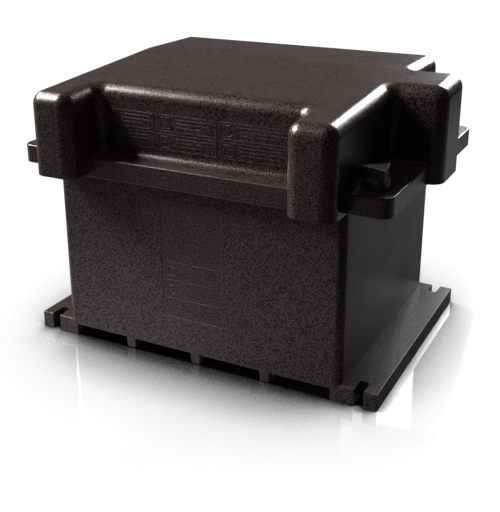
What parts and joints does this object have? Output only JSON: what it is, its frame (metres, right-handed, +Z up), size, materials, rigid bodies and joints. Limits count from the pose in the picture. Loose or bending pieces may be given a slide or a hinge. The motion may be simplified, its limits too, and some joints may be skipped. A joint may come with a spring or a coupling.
{
  "type": "dual battery box",
  "caption": "Lidded plastic box with hold-down flanges and turn-knob latches, holding linked deep-cycle batteries side by side.",
  "frame": {"origin": "middle of the tub's footprint, on the middle runner's flat underside, at floor level", "axes": "+X along the long side towards the cable hood, -Y to the front with the lobes, +Z up"},
  "size_m": [0.4982, 0.3808, 0.3505],
  "materials": {
    "box_plastic": "fine-grained moulded polypropylene, satin",
    "knob_plastic": "moulded nylon, satin",
    "zinc_steel": "zinc plated",
    "case_plastic": "moulded polypropylene",
    "cover_plastic": "moulded polypropylene",
    "cap_plastic": "moulded polypropylene",
    "lead": "dull cast lead",
    "tinned_copper": "tinned",
    "cable_jacket": "matt rubber"
  },
  "bodies": {
    "tub": {"tub": "box_plastic", "battery_case_left": "case_plastic", "battery_cover_left": "cover_plastic", "plate_pack_left_1": "lead", "plate_pack_left_2": "lead", "plate_pack_left_3": "lead", "battery_case_right": "case_plastic", "battery_cover_right": "cover_plastic", "plate_pack_right_1": "lead", "plate_pack_right_2": "lead", "plate_pack_right_3": "lead", "terminal_post_front_left": "lead", "terminal_nut_front_left": "zinc_steel", "terminal_post_rear_left": "lead", "terminal_nut_rear_left": "zinc_steel", "terminal_post_front_right": "lead", "terminal_nut_front_right": "zinc_steel", "terminal_post_rear_right": "lead", "terminal_nut_rear_right": "zinc_steel", "link_lug_left": "tinned_copper", "link_lug_right": "tinned_copper", "series_link": "cable_jacket"},
    "lid": {"lid": "box_plastic"},
    "latch_front_left": {"knob_front_left": "knob_plastic", "latch_bar_front_left": "knob_plastic", "latch_screw_front_left": "zinc_steel"},
    "latch_rear_left": {"knob_rear_left": "knob_plastic", "latch_bar_rear_left": "knob_plastic", "latch_screw_rear_left": "zinc_steel"},
    "latch_front_right": {"knob_front_right": "knob_plastic", "latch_bar_front_right": "knob_plastic", "latch_screw_front_right": "zinc_steel"},
    "latch_rear_right": {"knob_rear_right": "knob_plastic", "latch_bar_rear_right": "knob_plastic", "latch_screw_rear_right": "zinc_steel"},
    "cap_left_1": {"vent_cap_left_1": "cap_plastic"},
    "cap_left_2": {"vent_cap_left_2": "cap_plastic"},
    "cap_left_3": {"vent_cap_left_3": "cap_plastic"},
    "cap_right_1": {"vent_cap_right_1": "cap_plastic"},
    "cap_right_2": {"vent_cap_right_2": "cap_plastic"},
    "cap_right_3": {"vent_cap_right_3": "cap_plastic"}
  },
  "joints": [
    {"name": "lid_lift", "type": "slide", "parent": "tub", "child": "lid", "axis": [0, 0, 1], "range_m": [0, 0.2]},
    {"name": "latch_turn_front_left", "type": "hinge", "parent": "lid", "child": "latch_front_left", "pos_m": [-0.2155, -0.134, 0.2558], "axis": [0, 0, 1], "range_deg": [0, 90]},
    {"name": "latch_turn_rear_left", "type": "hinge", "parent": "lid", "child": "latch_rear_left", "pos_m": [-0.2155, 0.134, 0.2558], "axis": [0, 0, 1], "range_deg": [0, 90]},
    {"name": "latch_turn_front_right", "type": "hinge", "parent": "lid", "child": "latch_front_right", "pos_m": [0.2155, -0.134, 0.2558], "axis": [0, 0, 1], "range_deg": [0, 90]},
    {"name": "latch_turn_rear_right", "type": "hinge", "parent": "lid", "child": "latch_rear_right", "pos_m": [0.2155, 0.134, 0.2558], "axis": [0, 0, 1], "range_deg": [0, 90]},
    {"name": "cap_turn_left_1", "type": "hinge", "parent": "tub", "child": "cap_left_1", "pos_m": [-0.0912, -0.0845, 0.2745], "axis": [0, 0, 1], "range_deg": [0, 90]},
    {"name": "cap_turn_left_2", "type": "hinge", "parent": "tub", "child": "cap_left_2", "pos_m": [-0.0912, 0, 0.2745], "axis": [0, 0, 1], "range_deg": [0, 90]},
    {"name": "cap_turn_left_3", "type": "hinge", "parent": "tub", "child": "cap_left_3", "pos_m": [-0.0912, 0.0845, 0.2745], "axis": [0, 0, 1], "range_deg": [0, 90]},
    {"name": "cap_turn_right_1", "type": "hinge", "parent": "tub", "child": "cap_right_1", "pos_m": [0.0912, -0.0845, 0.2745], "axis": [0, 0, 1], "range_deg": [0, 90]},
    {"name": "cap_turn_right_2", "type": "hinge", "parent": "tub", "child": "cap_right_2", "pos_m": [0.0912, 0, 0.2745], "axis": [0, 0, 1], "range_deg": [0, 90]},
    {"name": "cap_turn_right_3", "type": "hinge", "parent": "tub", "child": "cap_right_3", "pos_m": [0.0912, 0.0845, 0.2745], "axis": [0, 0, 1], "range_deg": [0, 90]}
  ]
}
